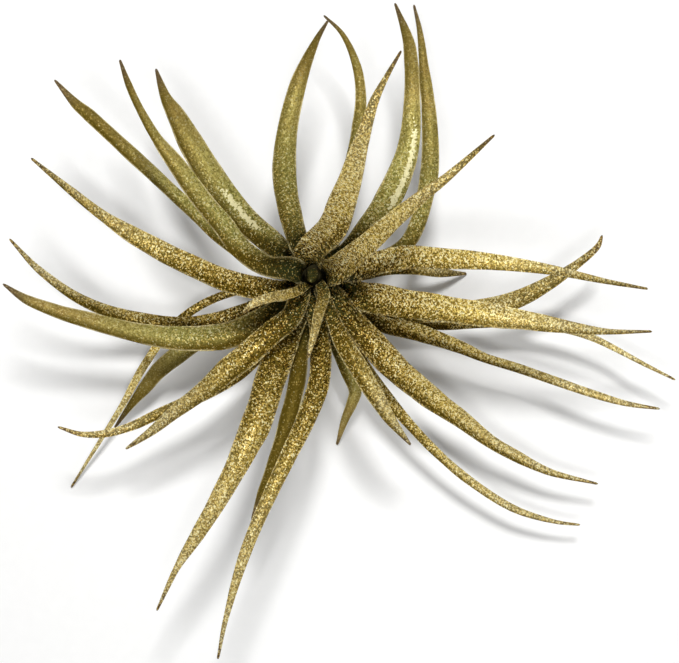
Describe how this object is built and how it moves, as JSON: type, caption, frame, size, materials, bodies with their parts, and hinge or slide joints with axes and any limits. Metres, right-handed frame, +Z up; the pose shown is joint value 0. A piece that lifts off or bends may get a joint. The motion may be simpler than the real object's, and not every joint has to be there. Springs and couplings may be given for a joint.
{
  "type": "capitata air plant",
  "caption": "Capitata air plant: a loose rosette of stiff, channelled, tapering leaves on a short stem, painted with gold glitter over olive green.",
  "frame": {"origin": "middle of the stem's flat underside, on the surface that the plant stands on", "axes": "+Z is up, the way the rosette faces; +Y is the top of the picture and +X its right"},
  "size_m": [0.2036, 0.1958, 0.0886],
  "materials": {
    "gold_leaf": "stiff leaf coated with gold glitter paint",
    "green_leaf": "satin olive-green leaf under a thin, even gold shimmer",
    "stem_bark": "dry brown stem with old leaf scars"
  },
  "bodies": {
    "root": {"stem": "stem_bark", "heart_bud": "green_leaf", "heart_leaf_1": "gold_leaf", "heart_leaf_2": "gold_leaf", "inner_leaf_1": "gold_leaf", "inner_leaf_2": "gold_leaf", "inner_leaf_3": "gold_leaf", "inner_leaf_4": "gold_leaf", "inner_leaf_5": "gold_leaf", "middle_leaf_1": "gold_leaf", "middle_leaf_2": "green_leaf", "middle_leaf_3": "gold_leaf", "middle_leaf_4": "gold_leaf", "middle_leaf_5": "gold_leaf", "middle_leaf_6": "gold_leaf", "middle_leaf_7": "gold_leaf", "middle_leaf_8": "green_leaf", "middle_leaf_9": "green_leaf", "middle_leaf_10": "gold_leaf", "outer_leaf_1": "gold_leaf", "outer_leaf_2": "gold_leaf", "outer_leaf_3": "green_leaf", "outer_leaf_4": "green_leaf", "outer_leaf_5": "green_leaf", "outer_leaf_6": "green_leaf", "outer_leaf_7": "gold_leaf", "outer_leaf_8": "gold_leaf", "outer_leaf_9": "gold_leaf", "lowest_leaf_1": "gold_leaf", "lowest_leaf_2": "green_leaf", "lowest_leaf_3": "green_leaf", "lowest_leaf_4": "gold_leaf", "lowest_leaf_5": "green_leaf"}
  },
  "joints": []
}
